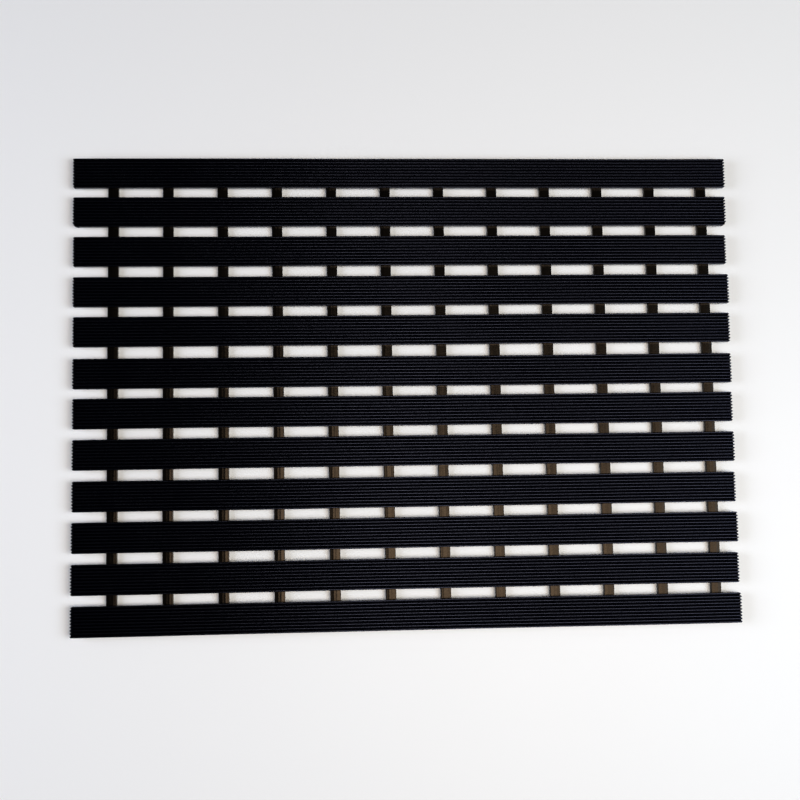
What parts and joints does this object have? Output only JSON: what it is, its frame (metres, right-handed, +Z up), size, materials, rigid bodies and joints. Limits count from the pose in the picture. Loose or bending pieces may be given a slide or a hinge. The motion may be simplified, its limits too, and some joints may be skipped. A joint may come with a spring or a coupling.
{
  "type": "door mat",
  "caption": "Flexible slatted drainage door mat: ribbed plastic slats welded across narrow runner strips, open gaps between, rolls up slat by slat.",
  "frame": {"origin": "on the floor, under the middle of the mat", "axes": "+X along the slats to the right, +Y along the runners to the back edge, +Z up out of the ribbed face"},
  "size_m": [0.7, 0.5, 0.0113],
  "materials": {
    "slat_plastic": "satin black flexible PVC, extruded with fine lengthwise ribs",
    "runner_plastic": "satin warm-black flexible PVC, smooth"
  },
  "bodies": {
    "row_01": {"slat_01": "slat_plastic", "runner_lengths_01": "runner_plastic"},
    "row_02": {"slat_02": "slat_plastic", "runner_lengths_02": "runner_plastic"},
    "row_03": {"slat_03": "slat_plastic", "runner_lengths_03": "runner_plastic"},
    "row_04": {"slat_04": "slat_plastic", "runner_lengths_04": "runner_plastic"},
    "row_05": {"slat_05": "slat_plastic", "runner_lengths_05": "runner_plastic"},
    "row_06": {"slat_06": "slat_plastic", "runner_lengths_06": "runner_plastic"},
    "row_07": {"slat_07": "slat_plastic", "runner_lengths_07": "runner_plastic"},
    "row_08": {"slat_08": "slat_plastic", "runner_lengths_08": "runner_plastic"},
    "row_09": {"slat_09": "slat_plastic", "runner_lengths_09": "runner_plastic"},
    "row_10": {"slat_10": "slat_plastic", "runner_lengths_10": "runner_plastic"},
    "row_11": {"slat_11": "slat_plastic", "runner_lengths_11": "runner_plastic"},
    "row_12": {"slat_12": "slat_plastic", "runner_lengths_12": "runner_plastic"}
  },
  "joints": [
    {"name": "bend_06", "type": "hinge", "parent": "row_06", "child": "row_07", "pos_m": [0, -0.00025, 0.0055], "axis": [-1, 0, 0], "range_deg": [-10, 30], "stiffness_Nm_per_rad": 1.6},
    {"name": "bend_07", "type": "hinge", "parent": "row_07", "child": "row_08", "pos_m": [0, -0.04234, 0.0055], "axis": [-1, 0, 0], "range_deg": [-10, 30], "stiffness_Nm_per_rad": 1.6},
    {"name": "bend_08", "type": "hinge", "parent": "row_08", "child": "row_09", "pos_m": [0, -0.08518, 0.0055], "axis": [-1, 0, 0], "range_deg": [-10, 30], "stiffness_Nm_per_rad": 1.6},
    {"name": "bend_09", "type": "hinge", "parent": "row_09", "child": "row_10", "pos_m": [0, -0.12792, 0.0055], "axis": [-1, 0, 0], "range_deg": [-10, 30], "stiffness_Nm_per_rad": 1.6},
    {"name": "bend_10", "type": "hinge", "parent": "row_10", "child": "row_11", "pos_m": [0, -0.17036, 0.0055], "axis": [-1, 0, 0], "range_deg": [-10, 30], "stiffness_Nm_per_rad": 1.6},
    {"name": "bend_11", "type": "hinge", "parent": "row_11", "child": "row_12", "pos_m": [0, -0.21296, 0.0055], "axis": [-1, 0, 0], "range_deg": [-10, 30], "stiffness_Nm_per_rad": 1.6},
    {"name": "bend_05", "type": "hinge", "parent": "row_06", "child": "row_05", "pos_m": [0, 0.04259, 0.0055], "axis": [1, 0, 0], "range_deg": [-10, 30], "stiffness_Nm_per_rad": 1.6},
    {"name": "bend_04", "type": "hinge", "parent": "row_05", "child": "row_04", "pos_m": [0, 0.08568, 0.0055], "axis": [1, 0, 0], "range_deg": [-10, 30], "stiffness_Nm_per_rad": 1.6},
    {"name": "bend_03", "type": "hinge", "parent": "row_04", "child": "row_03", "pos_m": [0, 0.12827, 0.0055], "axis": [1, 0, 0], "range_deg": [-10, 30], "stiffness_Nm_per_rad": 1.6},
    {"name": "bend_02", "type": "hinge", "parent": "row_03", "child": "row_02", "pos_m": [0, 0.17101, 0.0055], "axis": [1, 0, 0], "range_deg": [-10, 30], "stiffness_Nm_per_rad": 1.6},
    {"name": "bend_01", "type": "hinge", "parent": "row_02", "child": "row_01", "pos_m": [0, 0.21326, 0.0055], "axis": [1, 0, 0], "range_deg": [-10, 30], "stiffness_Nm_per_rad": 1.6}
  ]
}
